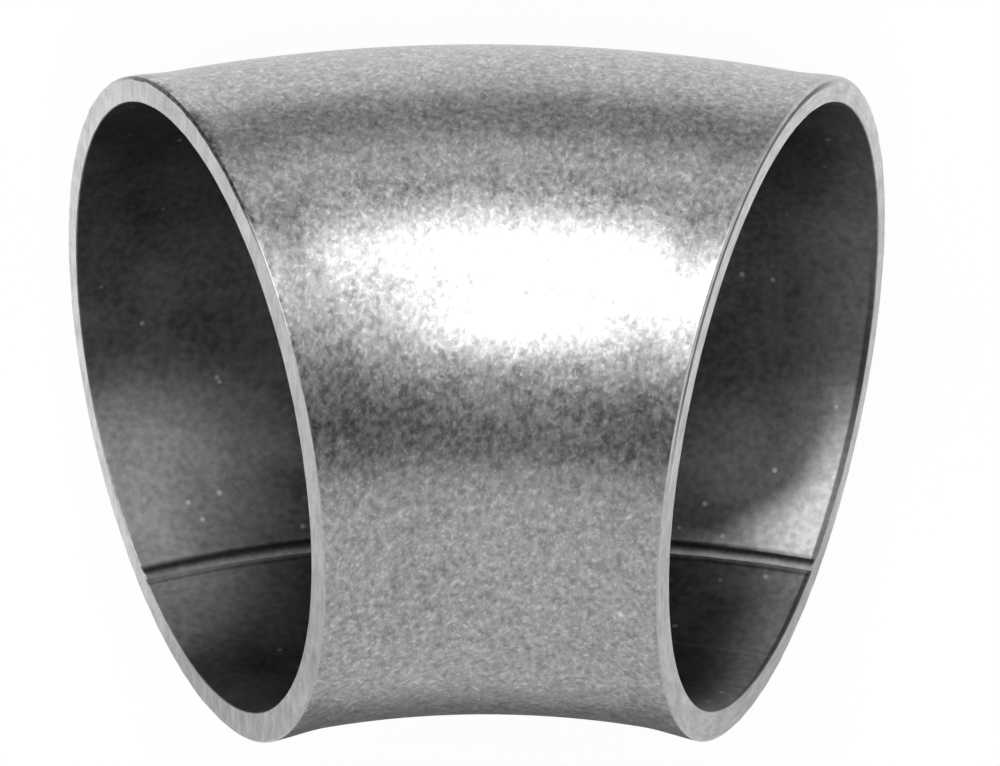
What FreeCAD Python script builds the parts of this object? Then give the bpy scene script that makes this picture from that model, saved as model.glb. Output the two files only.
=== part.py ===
import FreeCAD, Part
import math
import os

from FreeCAD import Vector

# A 45 degree butt-weld elbow, formed from one piece of seam-welded stainless tube.
# It lies on the outside of its bend: X runs along the part from mouth to mouth, Y is
# square to the plane of the bend, and Z = 0 is the lowest point of the bend's back.
# Lengths are millimetres and angles are degrees.

# Driving dimensions
tube_outside_diameter = 42.4
wall_thickness = 1.75
bend_radius = 47.5
bend_angle = 45.0

# Forming thins the wall on the back of the bend and gathers it on the inside,
# so the bore lies this far off the tube's centre, towards the back
bore_shift = 0.3

# The tube's own lengthwise weld: ground flush outside, and left inside as a low bead
# between two shallow undercuts, at this angle round the section from the back
seam_angle = 65.0
bead_width = 1.3
bead_height = 0.28
undercut_width = 0.5
undercut_depth = 0.09

# Both ends are cut square and ground, and their edges are broken by hand
outer_edge_break = 0.3
inner_edge_break = 0.12

# The section's outlines are drawn as half turns, which join this many degrees past the
# weld and opposite there, on the sides of the bend and so clear of the back it rests on
join_from_seam = 25.0

# Places worked out from the sizes above
outer_radius = tube_outside_diameter / 2
bore_radius = outer_radius - wall_thickness
bend_axis_height = bend_radius + outer_radius
bend_axis = Vector(0, -1, 0)
bend_centre = Vector(0, 0, bend_axis_height)
tube_centre = Vector(0, 0, bend_axis_height - bend_radius)
bore_centre = tube_centre - Vector(0, 0, bore_shift)
along_the_tube = Vector(1, 0, 0)
first_join = seam_angle + join_from_seam
second_join = first_join + 180


def section_point(centre, radius, angle):
    """A point of the middle section, by its angle from the back towards +Y."""
    turn = math.radians(angle)
    return centre + Vector(0, radius * math.sin(turn), -radius * math.cos(turn))


def bore_arc(radius_at_ends, radius_at_middle, start, end):
    """An arc of the bore's outline between two angles, bulged at its middle."""
    first = section_point(bore_centre, radius_at_ends, start)
    middle = section_point(bore_centre, radius_at_middle, (start + end) / 2)
    last = section_point(bore_centre, radius_at_ends, end)
    return Part.Arc(first, middle, last).toShape()


def bore_angle(arc_length):
    """The angle that a length along the bore's wall takes up."""
    return math.degrees(arc_length / bore_radius)


def bore_outline(radius, bead, undercut):
    """The bore's outline: undercut, bead, undercut, and on round by the two joins."""
    toe = bore_angle(bead_width / 2)
    root = bore_angle(bead_width / 2 + undercut_width)
    edges = [
        bore_arc(radius, radius + undercut, seam_angle - root, seam_angle - toe),
        bore_arc(radius, radius - bead, seam_angle - toe, seam_angle + toe),
        bore_arc(radius, radius + undercut, seam_angle + toe, seam_angle + root),
        bore_arc(radius, radius, seam_angle + root, first_join),
        bore_arc(radius, radius, first_join, second_join),
        bore_arc(radius, radius, second_join, seam_angle - root + 360),
    ]
    return Part.Wire(edges)


def outside_outline(radius):
    """The tube's outside, drawn round from the first join."""
    circle = Part.Wire(Part.makeCircle(radius, tube_centre, along_the_tube))
    circle.rotate(tube_centre, along_the_tube, first_join)
    return circle


def swung(outline, angle):
    """A copy of an outline of the middle section, carried round the bend."""
    copy = outline.copy()
    copy.rotate(bend_centre, bend_axis, angle)
    return copy


def end_piece(body_outline, face_outline, depth, side):
    """The last bit of a form, which changes straight from one outline to the other."""
    face_angle = bend_angle / 2
    body_angle = face_angle - math.degrees(depth / bend_radius)
    back = swung(body_outline, side * body_angle)
    face = swung(face_outline, side * face_angle)
    return Part.makeLoft([back, face], True, True)


def bent_form(body_outline, face_outline, depth):
    """An outline swept round the bend, with its two ends changed at the faces."""
    half_angle = bend_angle / 2 - math.degrees(depth / bend_radius)
    start = Part.Face(swung(body_outline, -half_angle))
    form = start.revolve(bend_centre, bend_axis, 2 * half_angle)
    for side in (-1, 1):
        form = form.fuse(end_piece(body_outline, face_outline, depth, side))
    return form


def outside_form():
    """The bent tube as if it were solid, with its outer edges broken."""
    body = outside_outline(outer_radius)
    face = outside_outline(outer_radius - outer_edge_break)
    return bent_form(body, face, outer_edge_break)


def bore_form():
    """The bore as a solid, with its bead ground away where the inner edge is broken."""
    body = bore_outline(bore_radius, bead_height, undercut_depth)
    face = bore_outline(bore_radius + inner_edge_break, 0, 0)
    return bent_form(body, face, inner_edge_break)


os.makedirs("parts", exist_ok=True)
elbow = outside_form().cut(bore_form()).Solids[0]
elbow.exportStep("parts/elbow.step")
print("elbow:", round(elbow.Volume, 1), "mm3, valid", elbow.isValid())
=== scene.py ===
# %% [markdown]
# # A 45 degree weld elbow in blasted stainless steel
# This lesson dresses one short bend of seam-welded tube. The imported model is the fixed
# frame: it gives the true size and place, in metres, and nothing here may move it.
# We make the tube's wall once more, fine enough for close views, and give each of its
# surfaces the finish that it has on the real part: blasted outside, ground at the ends,
# dull and drawn inside, with the tube's own weld as a low bead in the bore.

import math

import bpy
import numpy as np
from mathutils import Matrix, Vector


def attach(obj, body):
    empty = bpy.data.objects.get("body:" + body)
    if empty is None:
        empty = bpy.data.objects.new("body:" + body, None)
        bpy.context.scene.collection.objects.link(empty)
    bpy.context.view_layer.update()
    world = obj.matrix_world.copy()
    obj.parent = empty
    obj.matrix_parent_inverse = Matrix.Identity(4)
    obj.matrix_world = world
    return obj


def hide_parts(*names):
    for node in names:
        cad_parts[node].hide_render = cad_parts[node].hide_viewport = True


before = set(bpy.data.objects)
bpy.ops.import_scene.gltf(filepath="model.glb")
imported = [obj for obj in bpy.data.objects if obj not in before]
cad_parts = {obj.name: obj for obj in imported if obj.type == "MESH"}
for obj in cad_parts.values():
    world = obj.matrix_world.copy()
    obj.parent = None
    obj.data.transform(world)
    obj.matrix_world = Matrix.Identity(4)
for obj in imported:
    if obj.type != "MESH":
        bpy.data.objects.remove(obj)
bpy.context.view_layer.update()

# %% [markdown]
# ## The sizes of the bend
# The outside of the bend lies on the floor, so the bend's axis is above it. The ends are
# sized for welding and stand about 0.2 mm proud of the body between them, which forming
# has drawn in a little. Forming also thins the wall on the back of the bend, and so the
# bore lies slightly off the tube's centre. One value per size keeps all of this in step.

# %% Name the sizes
MM = 0.001
BEND_RADIUS = 47.5 * MM
BEND_ANGLE = math.radians(45)
END_RADIUS = 21.2 * MM
BODY_RADIUS = 21.0 * MM
BORE_RADIUS = 19.45 * MM
BORE_SHIFT = 0.3 * MM
AXIS_HEIGHT = BEND_RADIUS + END_RADIUS
HALF_LENGTH = BEND_RADIUS * BEND_ANGLE / 2
print("half length along the bend:", round(HALF_LENGTH / MM, 2), "mm")

# %% [markdown]
# ## The flat pattern of the wall
# A tube's whole surface can be cut open and laid flat: one way goes round the tube, and
# the other goes along its outside, over an end face, back through the bore and over the
# other end face. That makes one closed sheet, so the wall has no open seams at all. We
# write the sheet as a grid of points with a few plain numbers on each: where it is round
# the tube, how far along, and whether it is on the bore or on the outside. Angles are
# taken round from the back of the bend. The grid is closest at the weld bead and at the
# edges, where the shape changes most.

# %% Space the points round the tube
SEAM_ANGLE = math.radians(65)
BEAD_WIDTH = 1.05 * MM
FINE_ARC = 5.0
FINE_STEP = 0.125
POINTS_ELSEWHERE = 350
beside_the_bead = np.arange(-FINE_ARC, FINE_ARC, FINE_STEP)
round_the_rest = np.linspace(FINE_ARC, 360.0 - FINE_ARC, POINTS_ELSEWHERE, endpoint=False)
turns = np.concatenate([beside_the_bead, round_the_rest])
around = SEAM_ANGLE + np.radians(turns)
print("points round the tube:", len(around))

# %% [markdown]
# ## Rows along the wall
# Each row of the pattern has a station along the bend's centre line, a place in the wall
# from 0 on the bore to 1 on the outside, and a trim that moves it in or out. The edges
# are broken by hand with a file: a small flat with its two corners just rubbed off. Its
# outline is given in shares of the break, as pairs of how far back from the end face and
# how far in from the wall's surface, and both the outer and the inner edge use it.

# %% Shape the filed edges
OUTER_BREAK = 0.14 * MM
INNER_BREAK = 0.05 * MM
FILED_EDGE = [(1.25, 0.0), (1.02, 0.01), (0.9, 0.08), (0.5, 0.47), (0.08, 0.9), (0.01, 1.02), (0.0, 1.2)]
FACE_RINGS = [0.93, 0.75, 0.5, 0.25, 0.07]
edge_on_face = FILED_EDGE[-1][1]


def face_trim(wall):
    """The trim that runs evenly over an end face, from edge to edge."""
    return edge_on_face * (INNER_BREAK * (1 - wall) - OUTER_BREAK * wall)


def rows_of_one_end():
    """From the outside, over the +X end's edges and face, to the bore."""
    outer = [(HALF_LENGTH - back * OUTER_BREAK, 1.0, -off * OUTER_BREAK) for back, off in FILED_EDGE]
    face = [(HALF_LENGTH, wall, face_trim(wall)) for wall in FACE_RINGS]
    inner = [(HALF_LENGTH - back * INNER_BREAK, 0.0, off * INNER_BREAK) for back, off in FILED_EDGE]
    return outer + face + inner[::-1]


end_rows = rows_of_one_end()
other_end_rows = [(-station, wall, trim) for station, wall, trim in reversed(end_rows)]
print("rows over each end:", len(end_rows))

# %% Space the rows along the wall
STEP_GROWTH = 1.3


def spaced(first_gap, first_step, last_step):
    """Stations from end to end, closer together near the two faces."""
    gaps = [first_gap]
    step = first_step
    while gaps[-1] + step < HALF_LENGTH:
        gaps.append(gaps[-1] + step)
        step = min(last_step, step * STEP_GROWTH)
    return [gap - HALF_LENGTH for gap in gaps] + [HALF_LENGTH - gap for gap in reversed(gaps)]


outside_rows = [(station, 1.0, 0.0) for station in spaced(0.5 * MM, 0.2 * MM, 0.6 * MM)]
bore_rows = [(station, 0.0, 0.0) for station in reversed(spaced(0.25 * MM, 0.15 * MM, 0.34 * MM))]
rows = outside_rows + end_rows + bore_rows + other_end_rows
print("rows along the wall:", len(rows), "faces:", len(rows) * len(around))

# %% [markdown]
# ## Zones of the sheet
# Every face of the sheet belongs to one surface of the real part, and the number of that
# surface goes with it: 0 the blasted outside, 1 a ground end face, 2 the bore with its
# sharp inner edges, 3 the crown of the weld bead, and 4 the filed outer edge. The
# finishes are given out by these numbers.

# %% Number the zones
OUTSIDE, GROUND, BORE, BEAD, EDGE = 0, 1, 2, 3, 4
CROWN_SHARE = 0.42


def zone_of(row, column):
    """The surface that the face between a row and the next one belongs to."""
    _, wall, trim = rows[row]
    _, next_wall, next_trim = rows[(row + 1) % len(rows)]
    if wall == next_wall == 0.0:
        off_seam = math.radians(turns[column] + FINE_STEP / 2) * BORE_RADIUS
        return BEAD if abs(off_seam) < CROWN_SHARE * BEAD_WIDTH else BORE
    if wall == next_wall == 1.0:
        return EDGE if trim + next_trim < 0.0 else OUTSIDE
    return GROUND


zones = [zone_of(row, column) for row in range(len(rows)) for column in range(len(around))]
print("faces in each zone:", [zones.count(zone) for zone in (OUTSIDE, GROUND, BORE, BEAD, EDGE)])

# %% Write the flat pattern
ROW_GAP = 0.3 * MM
PATTERN_NUMBERS = ("around", "station", "wall", "trim")


def closed_grid(n_rows, n_round):
    """A grid whose last row and column join its first, with faces that look out of the metal."""
    faces = []
    for row in range(n_rows):
        for column in range(n_round):
            here, after = row * n_round, (row + 1) % n_rows * n_round
            beside = (column + 1) % n_round
            faces.append((here + column, here + beside, after + beside, after + column))
    return faces


def flat_pattern():
    """The closed sheet as a mesh, with its numbers as attributes."""
    points = [(a * BORE_RADIUS, i * ROW_GAP, 0.0) for i in range(len(rows)) for a in around]
    faces = closed_grid(len(rows), len(around))
    mesh = bpy.data.meshes.new("flat_pattern")
    mesh.from_pydata(points, [], faces)
    table = [(a, station, wall, trim) for station, wall, trim in rows for a in around]
    table = np.array(table, dtype=np.float32)
    for column, name in enumerate(PATTERN_NUMBERS):
        mesh.attributes.new(name, "FLOAT", "POINT").data.foreach_set("value", table[:, column].copy())
    mesh.attributes.new("zone", "INT", "FACE").data.foreach_set("value", np.array(zones, dtype=np.int32))
    mesh.polygons.foreach_set("use_smooth", [True] * len(faces))
    piece = bpy.data.objects.new("elbow_wall", mesh)
    bpy.context.scene.collection.objects.link(piece)
    return piece


wall_piece = flat_pattern()
print("flat pattern:", len(wall_piece.data.vertices), "points")

# %% [markdown]
# ## Small helpers for node trees
# Both the shape and the finishes are node trees. Written out in full they are long, so
# one helper adds a node and joins or sets its inputs. The others stand on it: sums and
# products, an even or a soft change from one level to another, and a place made from
# three numbers.


# %% Add a node and join its inputs
def add(tree, kind, inputs=None, **settings):
    """A node of a kind, with inputs by name or number: a socket is joined, a value is set."""
    made = tree.nodes.new(kind)
    for name, value in settings.items():
        setattr(made, name, value)
    for key, value in (inputs or {}).items():
        if isinstance(value, bpy.types.NodeSocket):
            tree.links.new(value, made.inputs[key])
        else:
            made.inputs[key].default_value = value
    return made


# %% Do arithmetic with nodes
def calc(tree, operation, *values, clamp=False):
    """One arithmetic node; gives its result."""
    inputs = dict(enumerate(values))
    return add(tree, "ShaderNodeMath", inputs, operation=operation, use_clamp=clamp).outputs[0]


def total(tree, result, *others):
    """The sum of several values."""
    for value in others:
        result = calc(tree, "ADD", result, value)
    return result


def product(tree, result, *others):
    """Several values multiplied together."""
    for value in others:
        result = calc(tree, "MULTIPLY", result, value)
    return result


def largest(tree, result, *others):
    """The largest of several values."""
    for value in others:
        result = calc(tree, "MAXIMUM", result, value)
    return result


def rest_of(tree, share):
    """What is left of 1 when a share is taken away."""
    return calc(tree, "SUBTRACT", 1.0, share)


# %% Change levels and make places
def ramp(tree, value, start, end, low=0.0, high=1.0, way="LINEAR"):
    """An even change from low to high as a value goes from start to end."""
    inputs = {0: value, 1: start, 2: end, 3: low, 4: high}
    return add(tree, "ShaderNodeMapRange", inputs, interpolation_type=way).outputs[0]


def fade(tree, value, start, end, low=0.0, high=1.0):
    """The same change, begun and ended softly."""
    return ramp(tree, value, start, end, low, high, "SMOOTHSTEP")


def point(tree, x, y, z=0.0):
    """Three numbers as one place."""
    return add(tree, "ShaderNodeCombineXYZ", {0: x, 1: y, 2: z}).outputs[0]


# %% [markdown]
# ## Rolling, seaming and bending with Geometry Nodes
# The wall follows a rule from end to end, so Geometry Nodes make it, in the order of the
# real work: the sheet is rolled to a tube, its weld is laid along the bore, the tube is
# bent, and its ends are sized. The sizes are named inputs, so any of them can be changed
# on the modifier. The bead's ripples come from a noise with a fixed seed.

# %% Start the bending tree
SIZES = {
    "Bend Radius": BEND_RADIUS,
    "Axis Height": AXIS_HEIGHT,
    "Half Length": HALF_LENGTH,
    "End Radius": END_RADIUS,
    "Body Radius": BODY_RADIUS,
    "Bore Radius": BORE_RADIUS,
    "Bore Shift": BORE_SHIFT,
    "Lip Start": 0.3 * MM,
    "Lip At Back": 1.3 * MM,
    "Lip Inside": 6.0 * MM,
    "Seam Angle": SEAM_ANGLE,
    "Seam Drift": math.radians(-2),
    "Drift Start": -9 * MM,
    "Drift End": -19 * MM,
    "Bead Width": BEAD_WIDTH,
    "Bead Height": 0.17 * MM,
    "Undercut Width": 0.3 * MM,
    "Undercut Depth": 0.015 * MM,
    "Ripple Spacing": 1.1 * MM,
    "Ripple Share": 0.35,
    "Wear Spacing": 1.1 * MM,
    "Wear Share": 0.9,
    "Seed": 7.0,
}
FINISHES = ["Outside", "Ground", "Bore", "Bead", "Edge"]


def tree_with_inputs(name):
    """An empty geometry tree whose inputs are the sizes and the finishes."""
    tree = bpy.data.node_groups.new(name, "GeometryNodeTree")
    face = tree.interface
    face.new_socket("Geometry", in_out="INPUT", socket_type="NodeSocketGeometry")
    for size, value in SIZES.items():
        face.new_socket(size, in_out="INPUT", socket_type="NodeSocketFloat").default_value = value
    for finish in FINISHES:
        face.new_socket(finish, in_out="INPUT", socket_type="NodeSocketMaterial")
    face.new_socket("Geometry", in_out="OUTPUT", socket_type="NodeSocketGeometry")
    return tree


bending = tree_with_inputs("roll_seam_and_bend")
given = add(bending, "NodeGroupInput").outputs
print("bending tree inputs:", len(SIZES) + len(FINISHES))

# %% [markdown]
# ## Where each point is
# The tree reads the pattern's four numbers and works out from them how far a point is
# from the nearest end face and from the weld. The weld doesn't run quite true: near the
# -X end it wanders a little towards the back, so the whole section is turned there.


# %% Read the pattern's numbers
def pattern_number(name, kind="FLOAT"):
    """A number that the flat pattern carries on its points or faces."""
    read = add(bending, "GeometryNodeInputNamedAttribute", {"Name": name}, data_type=kind)
    return read.outputs["Attribute"]


laid, station, in_wall, trim = [pattern_number(name) for name in PATTERN_NUMBERS]
which_end = calc(bending, "SIGN", station)
from_face = calc(bending, "SUBTRACT", given["Half Length"], calc(bending, "ABSOLUTE", station))
drift = ramp(bending, station, given["Drift Start"], given["Drift End"], 0.0, given["Seam Drift"])
angle = calc(bending, "ADD", laid, drift)
from_weld = calc(bending, "SUBTRACT", laid, given["Seam Angle"])
print("bending tree nodes so far:", len(bending.nodes))

# %% [markdown]
# ## The weld bead and its undercuts
# A tube mill rolls strip round and welds its edges. Outside, the weld is ground flush;
# inside it stays as a low rounded bead with a shallow undercut on each side. Both are
# simple humps across the seam. Only the bead's height changes along it, in ripples.


# %% Raise the bead and sink the undercuts
def hump(distance, half_width):
    """1 in the middle, falling to 0 at half_width."""
    share = calc(bending, "DIVIDE", distance, half_width)
    return calc(bending, "SUBTRACT", 1.0, calc(bending, "MULTIPLY", share, share), clamp=True)


def uneven(vector, scale, share):
    """A factor about 1, which a noise makes larger and smaller by up to a share."""
    noise = add(bending, "ShaderNodeTexNoise", {"Vector": vector, "Scale": scale, "Detail": 2.0}).outputs[0]
    strays = calc(bending, "SUBTRACT", noise, 0.5)
    return calc(bending, "MULTIPLY_ADD", strays, calc(bending, "MULTIPLY", share, 2.0), 1.0)


from_seam = calc(bending, "ABSOLUTE", calc(bending, "MULTIPLY", from_weld, given["Bore Radius"]))
half_bead = calc(bending, "MULTIPLY", given["Bead Width"], 0.5)
half_undercut = calc(bending, "MULTIPLY", given["Undercut Width"], 0.5)
along_seam = point(bending, calc(bending, "DIVIDE", station, given["Ripple Spacing"]), given["Seed"])
ripple = uneven(along_seam, 1.0, given["Ripple Share"])
bead = product(bending, hump(from_seam, half_bead), given["Bead Height"], ripple)
from_undercut = calc(bending, "SUBTRACT", from_seam, calc(bending, "ADD", half_bead, half_undercut))
undercut = calc(bending, "MULTIPLY", hump(from_undercut, half_undercut), given["Undercut Depth"])
bore_radius = calc(bending, "ADD", calc(bending, "SUBTRACT", given["Bore Radius"], bead), undercut)
print("bending tree nodes so far:", len(bending.nodes))

# %% [markdown]
# ## The sized ends
# The ends were pressed to the tube's exact diameter, so they stand a hair proud of the
# body. On the back of the bend the step is short and sharp. On the inside of the bend,
# where the metal gathered, it fades over several millimetres.

# %% Size the ends
inward_share = calc(bending, "MULTIPLY_ADD", calc(bending, "COSINE", angle), -0.5, 0.5)
lip_change = calc(bending, "SUBTRACT", given["Lip Inside"], given["Lip At Back"])
lip_length = calc(bending, "MULTIPLY_ADD", inward_share, lip_change, given["Lip At Back"])
to_body = fade(bending, from_face, given["Lip Start"], lip_length)
draw_in = calc(bending, "SUBTRACT", given["End Radius"], given["Body Radius"])
outside_radius = calc(bending, "SUBTRACT", given["End Radius"], calc(bending, "MULTIPLY", draw_in, to_body))
print("bending tree nodes so far:", len(bending.nodes))

# %% [markdown]
# ## Rolling the sheet
# Rolling turns the angle into a place on the section, at a radius that lies between the
# bore and the outside. A file never cuts quite evenly, so the trim of the edges grows
# and shrinks round each mouth. The bore's centre is shifted towards the back.

# %% Roll the sheet
round_mouth = point(bending, calc(bending, "SINE", angle), calc(bending, "COSINE", angle), which_end)
wear_scale = calc(bending, "DIVIDE", given["End Radius"], given["Wear Spacing"])
wear = uneven(round_mouth, wear_scale, given["Wear Share"])
wall_thickness = calc(bending, "SUBTRACT", outside_radius, bore_radius)
untrimmed = calc(bending, "MULTIPLY_ADD", wall_thickness, in_wall, bore_radius)
radius = calc(bending, "MULTIPLY_ADD", trim, wear, untrimmed)
across = calc(bending, "MULTIPLY", radius, calc(bending, "SINE", angle))
shift = calc(bending, "MULTIPLY", given["Bore Shift"], rest_of(bending, in_wall))
towards_back = calc(bending, "MULTIPLY_ADD", radius, calc(bending, "COSINE", angle), shift)
print("bending tree nodes so far:", len(bending.nodes))

# %% [markdown]
# ## Bending the tube
# Bending carries each section round the bend's axis, which lies along Y above the part:
# a point nearer the axis moves less, a point on the back moves more, and that is all
# that a bend is.

# %% Bend the tube
from_axis = calc(bending, "ADD", given["Bend Radius"], towards_back)
swing = calc(bending, "DIVIDE", station, given["Bend Radius"])
along = calc(bending, "MULTIPLY", from_axis, calc(bending, "SINE", swing))
below_axis = calc(bending, "MULTIPLY", from_axis, calc(bending, "COSINE", swing))
place = point(bending, along, across, calc(bending, "SUBTRACT", given["Axis Height"], below_axis))
moves = {"Geometry": given["Geometry"], "Position": place}
bent = add(bending, "GeometryNodeSetPosition", moves).outputs[0]
print("bending tree nodes so far:", len(bending.nodes))

# %% [markdown]
# ## Numbers for the finishes
# The finishes need to know where on the part they are: how far from the tube's centre, from the face and
# from the weld, on which side of the weld, how near the middle of the painted light patch beside it, and
# how near the side where the edges get painted shade. The tree keeps these on the points. The two that say
# how near are 1 there and -1 opposite.

# %% Keep the numbers on the points
FILE_ANGLE = math.radians(100)
FILE_LEAN = math.radians(-12)
PATCH_TURN = math.radians(9)
file_turn = calc(bending, "MULTIPLY_ADD", which_end, FILE_LEAN, FILE_ANGLE)
half_off = calc(bending, "ABSOLUTE", calc(bending, "SINE", calc(bending, "MULTIPLY", from_weld, 0.5)))
kept_numbers = {
    "from_centre": radius,
    "from_face": from_face,
    # how near the side whose edges get painted shade
    "towards_file": calc(bending, "COSINE", calc(bending, "ADD", angle, file_turn)),
    "beside_weld": calc(bending, "COSINE", calc(bending, "ADD", from_weld, PATCH_TURN)),
    "weld_side": calc(bending, "SINE", from_weld),
    "off_weld": product(bending, half_off, given["Bore Radius"], 2.0),
}
shape = bent
for name, value in kept_numbers.items():
    inputs = {"Geometry": shape, "Name": name, "Value": value}
    kept = add(bending, "GeometryNodeStoreNamedAttribute", inputs, data_type="FLOAT", domain="POINT")
    shape = kept.outputs[0]
print("numbers kept:", ", ".join(kept_numbers))

# %% [markdown]
# ## The end of the tree
# The zone number on each face picks its finish, out of the five that the modifier gives.

# %% Give out the finishes by zone
shape = add(bending, "GeometryNodeRealizeInstances", {0: shape}).outputs[0]
zone = pattern_number("zone", "INT")
for number, finish in enumerate(FINISHES):
    same = add(bending, "FunctionNodeCompare", {2: zone, 3: number}, data_type="INT", operation="EQUAL")
    inputs = {"Geometry": shape, "Selection": same.outputs[0], "Material": given[finish]}
    shape = add(bending, "GeometryNodeSetMaterial", inputs).outputs[0]
add(bending, "NodeGroupOutput", {"Geometry": shape})
print("bending tree nodes:", len(bending.nodes))

# %% [markdown]
# ## How the finishes are made
# All five finishes are bare steel, so each is a metal whose grey, roughness and bumps
# come from layers of noise. Every layer reads the piece's own place in metres, so the
# layers run over the closed wall with no join, and their grains have true sizes.


# %% Start a finish and end it
def finish_material(name):
    """A metal with its tree, its shader, and a place to read patterns from."""
    made = bpy.data.materials.new(name)
    made.use_nodes = True
    tree = made.node_tree
    shader = tree.nodes["Principled BSDF"]
    shader.inputs["Metallic"].default_value = 1.0
    place = add(tree, "ShaderNodeTexCoord").outputs["Object"]
    return made, tree, shader, place


def kept_number(tree, name):
    """A number that the bending tree kept on the points."""
    return add(tree, "ShaderNodeAttribute", attribute_name=name).outputs["Fac"]


def colour_steel(tree, shader, value):
    """Gives the metal a grey with steel's slight warmth."""
    blue = calc(tree, "MULTIPLY", value, 0.99)
    grey = add(tree, "ShaderNodeCombineColor", {0: value, 1: value, 2: blue}).outputs[0]
    tree.links.new(grey, shader.inputs["Base Color"])


def roughen(tree, shader, height, depth, strength):
    """Gives the metal bumps of a depth from a height between 0 and 1."""
    bump = add(tree, "ShaderNodeBump", {"Height": height, "Distance": depth, "Strength": strength})
    tree.links.new(bump.outputs[0], shader.inputs["Normal"])


# %% Make layers of noise
def grain(tree, place, size, detail=2.0, roughness=0.5):
    """A noise whose blobs are about size metres across."""
    inputs = {"Vector": place, "Scale": 1.0 / size, "Detail": detail, "Roughness": roughness}
    return add(tree, "ShaderNodeTexNoise", inputs).outputs[0]


def centred(tree, value, strength):
    """A noise as a change about zero."""
    return calc(tree, "MULTIPLY", calc(tree, "SUBTRACT", value, 0.5), strength)


def bright_dots(tree, place, per_metre, rim, core, strength):
    """Sparse round dots, each about the middle of a cell."""
    cells = add(tree, "ShaderNodeTexVoronoi", {"Vector": place, "Scale": per_metre})
    return ramp(tree, cells.outputs["Distance"], rim, core, 0.0, strength)


# %% [markdown]
# ## The blasted outside
# After forming, the scale is blasted off and the steel pickled. Close up it is a mass of tiny dents,
# crossed by short scratches from the tumbling of parts on parts, and by a few longer ones. The sparks of
# light in the dents are painted in as bright dots: a painted highlight. We build it as layers: a fine
# grain, a coarser mottle, and several families of scratches, each a noise stretched along its own
# direction. A family has a length, a width, and a level from 0 to 1 that makes it sparse. Curved strokes
# come from the level lines of a soft noise.

# %% Draw scratches and curls
PEAK_SOFTNESS = 0.16
SHORT_SCRATCH = (0.85 * MM, 0.27 * MM, 0.61)
LONG_SCRATCH = (2.2 * MM, 0.15 * MM, 0.69)
CURL_SIZE = 0.8 * MM
CURL_WIDTH = 0.12
CURL_SHARE = 0.3
SCRATCH_TURNS = [(0.3, 0.9, 1.7), (1.4, 0.2, 0.5), (2.2, 1.1, 2.6), (0.8, 2.3, 1.2), (2.9, 0.6, 0.1)]
LONG_SCRATCH_TURNS = [(0.5, 1.2, 0.7), (1.9, 0.5, 2.4)]


def scratch_family(tree, place, turn, length, width, sparsity):
    """Scratches in one direction: a noise stretched, then cut to its peaks."""
    inputs = {"Vector": place, "Rotation": turn, "Scale": (length / width, 1.0, 1.0)}
    turned = add(tree, "ShaderNodeMapping", inputs, vector_type="TEXTURE").outputs[0]
    return ramp(tree, grain(tree, turned, width, 1.0), sparsity, sparsity + PEAK_SOFTNESS)


def curls(tree, place, size, width):
    """Short curved strokes: the level lines of a soft noise, cut up by another one."""
    soft = grain(tree, place, size, 0.0)
    off_line = calc(tree, "ABSOLUTE", calc(tree, "SUBTRACT", soft, 0.5))
    line = ramp(tree, off_line, width, 0.3 * width)
    shown = ramp(tree, grain(tree, place, 1.3 * size, 1.0), 0.52, 0.6)
    return calc(tree, "MULTIPLY", line, shown)


def all_scratches(tree, place):
    """The short scratches with the curls, and the long scratches, as two layers."""
    short = [scratch_family(tree, place, turn, *SHORT_SCRATCH) for turn in SCRATCH_TURNS]
    short.append(calc(tree, "MULTIPLY", curls(tree, place, CURL_SIZE, CURL_WIDTH), CURL_SHARE))
    long = [scratch_family(tree, place, turn, *LONG_SCRATCH) for turn in LONG_SCRATCH_TURNS]
    return largest(tree, *short), largest(tree, *long)


# %% [markdown]
# ## Painted shade beside the filed edge
# Dark spots are painted on the outside close to the face, mostly at the +X end and on the -Y side: painted
# shade for a ragged burr along the edge that the shape doesn't have. The distance from the face keeps them
# beside the edge.


# %% Paint shade beside the edge
def edge_nicks(tree, place):
    """Dark spots of painted shade as a change of grey, below zero close to the faces."""
    split = add(tree, "ShaderNodeSeparateXYZ", {0: place}).outputs
    at_plus_end = ramp(tree, split["X"], -1 * MM, 1 * MM, -0.05, -0.24)
    filed_side = ramp(tree, split["Y"], -4 * MM, -8 * MM)
    deepest = calc(tree, "MULTIPLY", at_plus_end, filed_side)
    nicks = ramp(tree, grain(tree, place, 0.6 * MM, 1.0), 0.47, 0.6, 0.0, deepest)
    beside_edge = fade(tree, kept_number(tree, "from_face"), 0.95 * MM, 0.25 * MM)
    return calc(tree, "MULTIPLY", beside_edge, nicks)


# %% [markdown]
# ## The outside's layers together
# The dents are a little longer round the tube than along it, so the place is pressed together in Y and Z
# before the layers read it, the painted shade beside the edge among them. The grain shows in the grey and
# in the roughness more than in the bumps, because blast marks are far too shallow to shade.

# %% Make the outside's finish
DENT_PRESS = (1.0, 0.78, 0.78)
DENT_SIZE = 0.37 * MM
MOTTLE_SIZE = 0.9 * MM
CLOUD_SIZE = 7 * MM
PIT_SIZE = 0.42 * MM
SPARKS_PER_METRE = 260.0
OUTSIDE_GREY = 0.4
OUTSIDE_ROUGHNESS = 0.33
DENT_DEPTH = 0.0007 * MM


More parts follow.
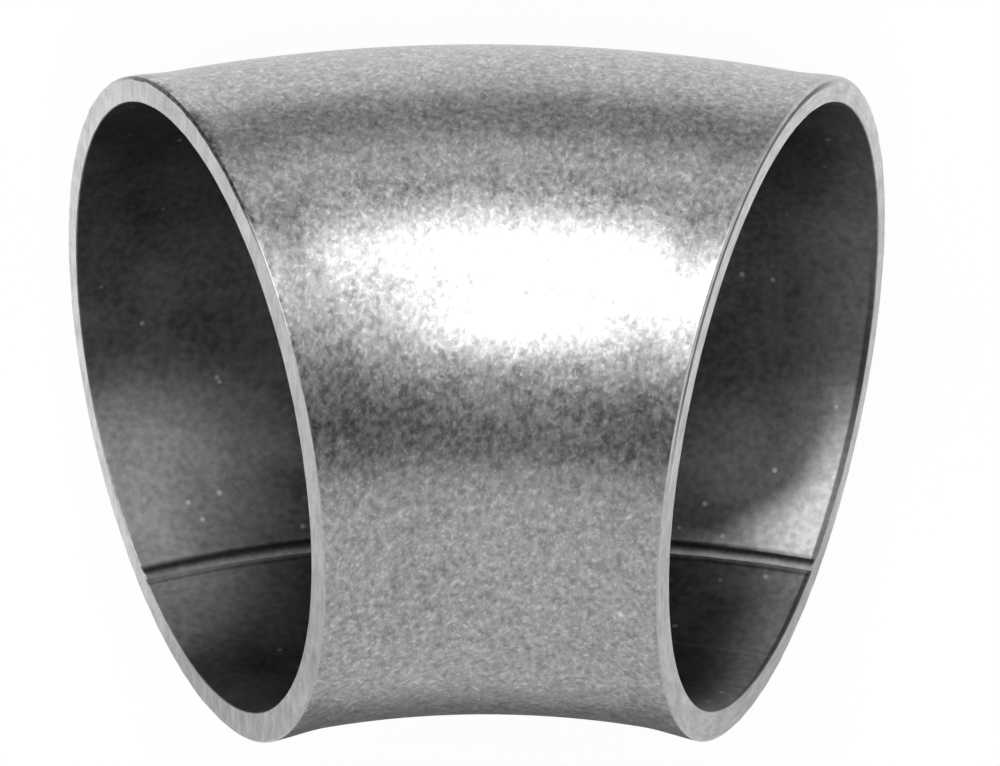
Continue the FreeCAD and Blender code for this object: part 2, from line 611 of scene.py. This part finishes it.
def blasted_outside():
    """The satin outside, from fine grain up to broad clouds."""
    made, tree, shader, place = finish_material("blasted_outside")
    pressed = add(tree, "ShaderNodeMapping", {"Vector": place, "Scale": DENT_PRESS}).outputs[0]
    fine = grain(tree, pressed, DENT_SIZE, 1.0)
    mottle = grain(tree, pressed, MOTTLE_SIZE, 2.0, 0.6)
    cloud = grain(tree, pressed, CLOUD_SIZE, 2.0)
    pits = ramp(tree, grain(tree, pressed, PIT_SIZE, 1.0), 0.3, 0.22)
    scratches, long_scratches = all_scratches(tree, pressed)
    tones = [
        OUTSIDE_GREY,
        centred(tree, fine, 0.46),
        centred(tree, mottle, 0.25),
        centred(tree, cloud, 0.1),
        calc(tree, "MULTIPLY", scratches, 0.2),
        calc(tree, "MULTIPLY", long_scratches, 0.3),
        calc(tree, "MULTIPLY", pits, -0.05),
        # painted highlight: sparse bright dots stand in for glints of light in the dents
        bright_dots(tree, pressed, SPARKS_PER_METRE, 0.06, 0.03, 0.3),
        # painted shade: dark spots beside the face, for the shade of a ragged burr
        edge_nicks(tree, pressed),
    ]
    colour_steel(tree, shader, total(tree, *tones))
    rough = total(tree, OUTSIDE_ROUGHNESS, centred(tree, fine, 0.1), centred(tree, mottle, 0.1))
    tree.links.new(rough, shader.inputs["Roughness"])
    roughen(tree, shader, calc(tree, "MULTIPLY_ADD", fine, 0.5, mottle), DENT_DEPTH, 1.0)
    return made


outside_finish = blasted_outside()
print("nodes in the outside's finish:", len(outside_finish.node_tree.nodes))

# %% [markdown]
# ## The ground end faces
# The ends are faced on a grinder after sizing. At the +X end the strokes run straight across the ring, and
# at the other they follow it round. The distance from the tube's centre, kept by the bending tree, lets the
# round strokes follow the ring exactly. One side of each face is painted darker: painted shade. The -X face
# has a dark line of painted shade just inside its outer edge, for a groove that the shape doesn't have.

# %% Draw the grinding strokes
RING_STRETCH = 9.0
RING_GRAIN = 1.8 * MM
STRAIGHT_STRETCH = (1.0, 0.22, 1.0)
STRAIGHT_GRAIN = 0.42 * MM


def grinding_strokes(tree, place, from_centre, split, plus_end):
    """Round strokes at the -X end and straight ones at the +X end."""
    ring_place = point(tree, calc(tree, "MULTIPLY", from_centre, RING_STRETCH), split["Y"], split["Z"])
    round_strokes = grain(tree, ring_place, RING_GRAIN, 2.0, 0.6)
    stretched = add(tree, "ShaderNodeMapping", {"Vector": place, "Scale": STRAIGHT_STRETCH}).outputs[0]
    straight_strokes = grain(tree, stretched, STRAIGHT_GRAIN, 3.0, 0.6)
    return add(tree, "ShaderNodeMix", {0: plus_end, 2: round_strokes, 3: straight_strokes}).outputs[0]


# %% Paint the groove's shade beside the edge
GROOVE_RADIUS = 20.84 * MM


def face_groove(tree, from_centre, plus_end):
    """How dark the painted shade of the groove in the -X face is, from 0 to 1."""
    off_groove = calc(tree, "ABSOLUTE", calc(tree, "SUBTRACT", from_centre, GROOVE_RADIUS))
    groove = ramp(tree, off_groove, 0.26 * MM, 0.15 * MM, 0.0, 0.95)
    filed_side = ramp(tree, kept_number(tree, "towards_file"), 0.62, 0.82)
    return product(tree, groove, filed_side, rest_of(tree, plus_end))


# %% Make the end faces' finish
FACE_GREY = 0.53
PLUS_FACE_PALER = 0.07
FACE_ROUGHNESS = 0.28
STROKE_DEPTH = 0.006 * MM


def ground_faces():
    """The two faces, each with its own strokes."""
    made, tree, shader, place = finish_material("ground_faces")
    split = add(tree, "ShaderNodeSeparateXYZ", {0: place}).outputs
    from_centre = kept_number(tree, "from_centre")
    plus_end = calc(tree, "GREATER_THAN", split["X"], 0.0)
    strokes = grinding_strokes(tree, place, from_centre, split, plus_end)
    speck = grain(tree, place, 0.3 * MM, 1.0)
    blotch = grain(tree, place, 1.6 * MM, 2.0)
    level = calc(tree, "MULTIPLY_ADD", plus_end, PLUS_FACE_PALER, FACE_GREY)
    changes = [centred(tree, strokes, 0.55), centred(tree, speck, 0.2), centred(tree, blotch, 0.35)]
    # painted shade: one side of each face is made darker
    towards_dull = calc(tree, "MULTIPLY_ADD", plus_end, -2.0, 1.0)
    dull_side = calc(tree, "MULTIPLY", kept_number(tree, "beside_weld"), towards_dull)
    dull = fade(tree, dull_side, 0.1, 0.85, 1.0, 0.82)
    # painted shade: the dark line of a groove in the -X face
    groove = face_groove(tree, from_centre, plus_end)
    colour_steel(tree, shader, product(tree, total(tree, level, *changes), dull, rest_of(tree, groove)))
    tree.links.new(calc(tree, "MULTIPLY_ADD", strokes, 0.2, FACE_ROUGHNESS), shader.inputs["Roughness"])
    roughen(tree, shader, strokes, STROKE_DEPTH, 0.8)
    return made


ground_finish = ground_faces()
print("nodes in the faces' finish:", len(ground_finish.node_tree.nodes))

# %% [markdown]
# ## The filed edge
# At the +X end, on one side of the tube, a dark line between the face and the body is painted shade, the
# shade under the end's lip. Elsewhere the file only brightened the corner.

# %% Make the filed edge's finish
EDGE_GREY = 0.52
BITTEN_DARKER = -0.45
EDGE_ROUGHNESS = 0.35


def filed_edge():
    """The file's small flat, with painted shade on one side at the +X end."""
    made, tree, shader, place = finish_material("filed_edge")
    shader.inputs["Roughness"].default_value = EDGE_ROUGHNESS
    filed_side = ramp(tree, kept_number(tree, "towards_file"), 0.82, 0.92)
    split = add(tree, "ShaderNodeSeparateXYZ", {0: place}).outputs
    # painted shade: the dark line under the lip on one side of the +X end
    bitten = calc(tree, "MULTIPLY", filed_side, calc(tree, "GREATER_THAN", split["X"], 0.0))
    level = calc(tree, "MULTIPLY_ADD", bitten, BITTEN_DARKER, EDGE_GREY)
    colour_steel(tree, shader, total(tree, level, centred(tree, grain(tree, place, 0.4 * MM), 0.3)))
    return made


edge_finish = filed_edge()
print("nodes in the edge's finish:", len(edge_finish.node_tree.nodes))

# %% [markdown]
# ## Painted light at the bore's mouths, and the blast's roughness
# The blast reached in a little way at each mouth and left the steel rougher there. The light that comes in
# at the mouths is painted into the grey as paler steel. At the +X end it is a wide pale band on the weld's
# side. At the -X end it is a bright patch on one side of the weld, deepest right beside it, with a thin
# painted highlight along the weld as a tail, and a faint paling all round, a bit stronger on the weld's
# other side.

# %% Find the painted light and the blast at the mouths
PATCH_REACH = 1.05 * MM
REACH_AT_WELD = 2.9 * MM


def blasted_share(tree, minus_end, patch_side):
    """How much painted light, and blast roughness, the bore has near the mouths, from 0 upwards."""
    from_face = kept_number(tree, "from_face")
    off_weld = kept_number(tree, "off_weld")
    weld_side = kept_number(tree, "weld_side")
    on_weld_side = fade(tree, kept_number(tree, "beside_weld"), 0.78, 0.98, 0.0, 0.46)
    band = calc(tree, "MULTIPLY", fade(tree, from_face, 10 * MM, 0.0), on_weld_side)
    close = fade(tree, off_weld, 11 * MM, 0.5 * MM)
    reach = calc(tree, "MULTIPLY_ADD", calc(tree, "POWER", close, 3.0), REACH_AT_WELD, PATCH_REACH)
    patch = fade(tree, calc(tree, "DIVIDE", from_face, reach), 2.0, 0.2)
    along_weld = fade(tree, off_weld, 2.2 * MM, 0.8 * MM, 0.0, 0.68)
    tail = calc(tree, "MULTIPLY", along_weld, fade(tree, from_face, 10 * MM, 2 * MM))
    near_weld = fade(tree, off_weld, 15 * MM, 2 * MM, 0.0, 1.2)
    patch = product(tree, largest(tree, patch, tail), patch_side, near_weld)
    all_round = fade(tree, from_face, 4.5 * MM, 0.2 * MM, 0.0, 0.24)
    other_side = fade(tree, weld_side, 0.02, 0.06)
    past_weld = calc(tree, "MULTIPLY", other_side, fade(tree, from_face, 5 * MM, 0.3 * MM, 0.0, 0.22))
    at_minus_end = total(tree, patch, all_round, past_weld)
    return add(tree, "ShaderNodeMix", {0: minus_end, 2: band, 3: at_minus_end}).outputs[0]


# %% [markdown]
# ## Painted shade in the bore
# Painted shade darkens the toes of the bead on both sides of it, the shade of its undercuts. At the -X end
# a narrow land just inside the face is painted dark, the shadow of the broken inner edge. Each of these
# takes away a share of the grey.


# %% Paint shade in the toes and on the land
def dark_lines(tree, minus_end, patch_side):
    """The share of grey taken by painted shade in the bead's toes and on the land."""
    off_weld = kept_number(tree, "off_weld")
    toe = calc(tree, "MULTIPLY", patch_side, fade(tree, off_weld, 0.95 * MM, 0.6 * MM, 0.0, 0.35))
    other_toe = fade(tree, off_weld, 0.9 * MM, 0.62 * MM, 0.0, 0.45)
    other_toe = calc(tree, "MULTIPLY", rest_of(tree, patch_side), other_toe)
    scraped = fade(tree, kept_number(tree, "from_face"), 0.36 * MM, 0.22 * MM, 0.0, 0.7)
    land = product(tree, minus_end, scraped, fade(tree, kept_number(tree, "beside_weld"), 0.5, 0.93))
    return largest(tree, toe, other_toe, land)


# %% [markdown]
# ## The bore's layers together
# The bore keeps the dull dark skin of the mandrel's lubricant and of pickling, with soft
# clouds and a few bright specks. One pale drag mark runs along it at the -X end, from a
# crumb under the mandrel.

# %% Draw the drag mark
DRAG_OFF_WELD = 8.2 * MM


def drag_mark(tree, minus_end):
    """One pale line along the bore, on the weld's other side."""
    off_drag = calc(tree, "ABSOLUTE", calc(tree, "SUBTRACT", kept_number(tree, "off_weld"), DRAG_OFF_WELD))
    line = fade(tree, off_drag, 0.16 * MM, 0.05 * MM, 0.0, 0.06)
    return product(tree, line, fade(tree, kept_number(tree, "weld_side"), 0.1, 0.2), minus_end)


# %% Make the bore's finish
BORE_GREY = 0.17
BORE_ROUGHNESS = 0.3
SPECKS_PER_METRE = 420.0
SKIN_DEPTH = 0.008 * MM


def drawn_bore():
    """The dull bore, with painted light near the mouths."""
    made, tree, shader, place = finish_material("drawn_bore")
    split = add(tree, "ShaderNodeSeparateXYZ", {0: place}).outputs
    minus_end = fade(tree, split["X"], 1 * MM, -1 * MM)
    patch_side = fade(tree, kept_number(tree, "weld_side"), 0.02, -0.02)
    fine = grain(tree, place, 0.5 * MM)
    cloud = grain(tree, place, 4 * MM, 3.0, 0.55)
    specks = bright_dots(tree, place, SPECKS_PER_METRE, 0.1, 0.04, 0.35)
    skin = total(tree, BORE_GREY, centred(tree, cloud, 0.15), centred(tree, fine, 0.17), specks)
    blasted = blasted_share(tree, minus_end, patch_side)
    # painted light: the bore is made paler near the mouths, where light comes in
    paling = product(tree, blasted, total(tree, 1.0, centred(tree, fine, 0.8)), 0.55)
    value = total(tree, skin, paling, drag_mark(tree, minus_end))
    # painted shade: the bead's toes and the land inside the -X face are darkened
    lost = dark_lines(tree, minus_end, patch_side)
    colour_steel(tree, shader, product(tree, value, rest_of(tree, lost)))
    changes = [calc(tree, "MULTIPLY", cloud, 0.15), calc(tree, "MULTIPLY", blasted, 0.2)]
    tree.links.new(total(tree, BORE_ROUGHNESS, *changes), shader.inputs["Roughness"])
    roughen(tree, shader, fine, SKIN_DEPTH, 0.6)
    return made


bore_finish = drawn_bore()
print("nodes in the bore's finish:", len(bore_finish.node_tree.nodes))

# %% [markdown]
# ## The bead's crown
# The crown of the weld has a painted highlight on the side away from the patch, most of all near the faces,
# where it is a little brighter than the bore. It keeps the fine marks of its freezing.

# %% Make the bead's finish
BEAD_GREY = 0.16
BEAD_ROUGHNESS = 0.36
FREEZING_DEPTH = 0.02 * MM


def weld_bead():
    """The bead's crown, with a painted highlight on one side."""
    made, tree, shader, place = finish_material("weld_bead")
    shader.inputs["Roughness"].default_value = BEAD_ROUGHNESS
    split = add(tree, "ShaderNodeSeparateXYZ", {0: place}).outputs
    fine = grain(tree, place, 0.3 * MM, 3.0)
    rubbed_side = fade(tree, kept_number(tree, "weld_side"), -0.012, 0.018)
    rubbed = fade(tree, split["X"], 1 * MM, -1 * MM, 0.2, 0.3)
    near_face = fade(tree, kept_number(tree, "from_face"), 9 * MM, 1 * MM, 0.6, 1.1)
    # painted highlight: the crown is brighter on one side, most near the faces
    crown = product(tree, rubbed_side, rubbed, near_face)
    colour_steel(tree, shader, total(tree, BEAD_GREY, centred(tree, fine, 0.25), crown))
    roughen(tree, shader, fine, FREEZING_DEPTH, 0.6)
    return made


bead_finish = weld_bead()
print("nodes in the bead's finish:", len(bead_finish.node_tree.nodes))

# %% [markdown]
# ## From the tree to a plain mesh
# The modifier's inputs are set by their identifiers before the tree first runs. Then the
# result becomes the piece's own mesh and the modifier goes, so that what is kept is plain
# geometry. The piece stands for the CAD solid and rides on its body.

# %% Run the tree and keep its result
made_finishes = [outside_finish, ground_finish, bore_finish, bead_finish, edge_finish]
modifier_values = {**SIZES, **dict(zip(FINISHES, made_finishes))}
modifier = wall_piece.modifiers.new("Roll, seam and bend", "NODES")
modifier.node_group = bending
for socket in bending.interface.items_tree:
    if socket.in_out == "INPUT" and socket.name in modifier_values:
        modifier[socket.identifier] = modifier_values[socket.name]
bpy.context.view_layer.update()
evaluated = wall_piece.evaluated_get(bpy.context.evaluated_depsgraph_get())
finished = bpy.data.meshes.new_from_object(evaluated)
wall_piece.modifiers.clear()
wall_piece.data = finished
finished.name = "elbow_wall"
print("wall:", len(finished.vertices), "points,", len(finished.polygons), "faces")

# %% Let it stand for the CAD solid
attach(wall_piece, "root")
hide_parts("elbow")
print("the wall rides on root and stands for elbow")

# %% [markdown]
# ## The floor and the background
# The photograph's background is plain white. The floor is pale, and for what the camera
# and the metal's reflections see it is lifted to white, which adds no light to the part.
# A tenth of its own shade is left in, and with it the part's shadow.

# %% Lay the floor
FLOOR_HALF = 3.0
FLOOR_GREY = 0.9
LIFT_TO_WHITE = 0.9
CORNERS = [(-1, -1), (1, -1), (1, 1), (-1, 1)]


def flat_sheet(name, width, depth):
    """A level rectangle about the origin, linked to the scene."""
    mesh = bpy.data.meshes.new(name)
    mesh.from_pydata([(x * width / 2, y * depth / 2, 0.0) for x, y in CORNERS], [], [(0, 1, 2, 3)])
    thing = bpy.data.objects.new(name, mesh)
    bpy.context.scene.collection.objects.link(thing)
    return thing


def pale_floor():
    """A matt pale finish that the camera and reflections see as nearly white."""
    made = bpy.data.materials.new("pale_floor")
    made.use_nodes = True
    tree = made.node_tree
    shader = tree.nodes["Principled BSDF"]
    shader.inputs["Base Color"].default_value = (FLOOR_GREY, FLOOR_GREY, FLOOR_GREY, 1.0)
    shader.inputs["Roughness"].default_value = 0.9
    path = add(tree, "ShaderNodeLightPath").outputs
    seen = largest(tree, path["Is Camera Ray"], path["Is Glossy Ray"], path["Is Transmission Ray"])
    white = add(tree, "ShaderNodeEmission", {"Color": (1.0, 1.0, 1.0, 1.0), "Strength": 1.0}).outputs[0]
    lift = calc(tree, "MULTIPLY", seen, LIFT_TO_WHITE)
    mixed = add(tree, "ShaderNodeMixShader", {0: lift, 1: shader.outputs[0], 2: white}).outputs[0]
    tree.links.new(mixed, tree.nodes["Material Output"].inputs["Surface"])
    return made


floor = flat_sheet("floor", 2 * FLOOR_HALF, 2 * FLOOR_HALF)
floor.data.materials.append(pale_floor())
print("floor:", 2 * FLOOR_HALF, "m square")

# %% [markdown]
# ## The world's light
# A plain white world lights the part softly from all round, and is the white background
# above the floor.

# %% Light the world
world = bpy.data.worlds.new("studio")
bpy.context.scene.world = world
world.use_nodes = True
background = world.node_tree.nodes["Background"]
background.inputs["Color"].default_value = (1.0, 1.0, 1.0, 1.0)
background.inputs["Strength"].default_value = 1.0
print("world strength:", background.inputs["Strength"].default_value)

# %% [markdown]
# ## The lamps
# Metal shows its surroundings, so a photographer lights it with soft lamps at one side,
# which make the broad white highlight: a wide one for the highlight, a dim one under it,
# and a small one above it. A lamp's brightness is given as the metal sees it, where 1 is
# white. Each row gives a lamp's direction in degrees, round from +X and up from the
# floor, then its distance, width and height in metres, and its brightness.

# %% Place the lamps
LAMPS = [
    ("key_lamp", -73.5, 15.5, 0.8, 0.88, 0.17, 5.2),
    ("low_lamp", -99, 4.5, 0.85, 0.74, 0.13, 1.15),
    ("upper_lamp", -86.5, 43, 0.75, 0.25, 0.32, 7.1),
]


def aim(thing, azimuth, elevation, distance):
    """Puts a lamp or card round the part and turns it to face the part."""
    turn, rise = math.radians(azimuth), math.radians(elevation)
    level = math.cos(rise)
    away = Vector((level * math.cos(turn), level * math.sin(turn), math.sin(rise)))
    thing.location = Vector((0, 0, END_RADIUS)) + away * distance
    thing.rotation_euler = away.to_track_quat("Z", "Y").to_euler()


def soft_lamp(name, azimuth, elevation, distance, width, height, brightness):
    """A rectangular lamp, as bright all over as asked."""
    lamp = bpy.data.lights.new(name, "AREA")
    lamp.shape = "RECTANGLE"
    lamp.size = width
    lamp.size_y = height
    lamp.energy = brightness * math.pi * width * height
    thing = bpy.data.objects.new(name, lamp)
    bpy.context.scene.collection.objects.link(thing)
    aim(thing, azimuth, elevation, distance)


for lamp_row in LAMPS:
    soft_lamp(*lamp_row)
print("lamps:", len(LAMPS))

# %% [markdown]
# ## The cards
# Where the metal should turn dark, a photographer holds up black or grey cards: here a
# black one overhead, a grey one behind, a small black one aside, and strips that lie by
# the part and show in its underside and faces. Only the metal's reflections see them. A
# row gives a card's width, height and grey, and then where it stands or lies.

# %% Place the cards
STANDING_CARDS = [
    ("card_overhead", 1.6, 0.39, 0.0, -90, 65, 0.5),
    ("card_behind", 2.4, 1.43, 0.72, 90, 40, 0.6),
    ("card_aside", 0.22, 0.13, 0.0, -129, 33, 0.6),
]
LYING_CARDS = [
    ("card_low", 0.5, 0.028, 0.26, -0.19, -0.048),
    ("card_low_far", 2.0, 0.5, 0.15, 0.0, -0.35),
    ("card_low_near", 0.05, 0.09, 0.12, 0.0, 0.079),
    ("card_low_behind", 1.2, 0.15, 0.3, 0.0, 0.212),
    ("card_low_left", 0.1, 0.03, 0.5, 0.078, 0.052),
    ("card_low_right", 0.16, 0.05, 0.75, -0.108, 0.052),
]
CARD_LIFT = 1 * MM


def card(name, width, height, grey):
    """A flat card that lies level at the origin until it is aimed or moved."""
    finish = bpy.data.materials.new(name)
    finish.use_nodes = True
    tree = finish.node_tree
    shade = add(tree, "ShaderNodeEmission", {"Color": (grey, grey, grey, 1.0)}).outputs[0]
    tree.links.new(shade, tree.nodes["Material Output"].inputs["Surface"])
    thing = flat_sheet(name, width, height)
    thing.data.materials.append(finish)
    thing.visible_camera = False
    thing.visible_diffuse = False
    thing.visible_transmission = False
    thing.visible_shadow = False
    return thing


for name, width, height, grey, azimuth, elevation, distance in STANDING_CARDS:
    aim(card(name, width, height, grey), azimuth, elevation, distance)
for name, width, height, grey, x, y in LYING_CARDS:
    card(name, width, height, grey).location = (x, y, CARD_LIFT)
print("cards:", len(STANDING_CARDS) + len(LYING_CARDS))

# %% [markdown]
# ## The camera
# The camera looks down at the inside of the bend with both mouths in view. Its place and
# lens come from fitting the two ring outlines and the bend's outline in the photograph.
# The picture's top is the back of the bend.

# %% Place the camera
CAMERA_PLACE = Vector((13.425, -277.861, 456.54)) * MM
LOOKING = Vector((-0.0281, 0.5382, -0.8424)).normalized()
ACROSS_PICTURE = Vector((-0.9996, -0.0143, 0.0242)).normalized()
LENS = 296.53
camera_data = bpy.data.cameras.new("camera")
camera_data.sensor_fit = "HORIZONTAL"
camera_data.sensor_width = 36.0
camera_data.lens = LENS
camera_data.clip_start = 0.01
camera_data.clip_end = 20.0
camera = bpy.data.objects.new("camera", camera_data)
bpy.context.scene.collection.objects.link(camera)
right = (ACROSS_PICTURE - LOOKING * ACROSS_PICTURE.dot(LOOKING)).normalized()
up = right.cross(LOOKING)
facing = Matrix((right, up, -LOOKING)).transposed().to_4x4()
camera.matrix_world = Matrix.Translation(CAMERA_PLACE) @ facing
bpy.context.scene.camera = camera
bpy.context.scene.view_settings.view_transform = "Standard"
print("camera to the part:", round((CAMERA_PLACE - Vector((0, 0, END_RADIUS))).length, 3), "m")
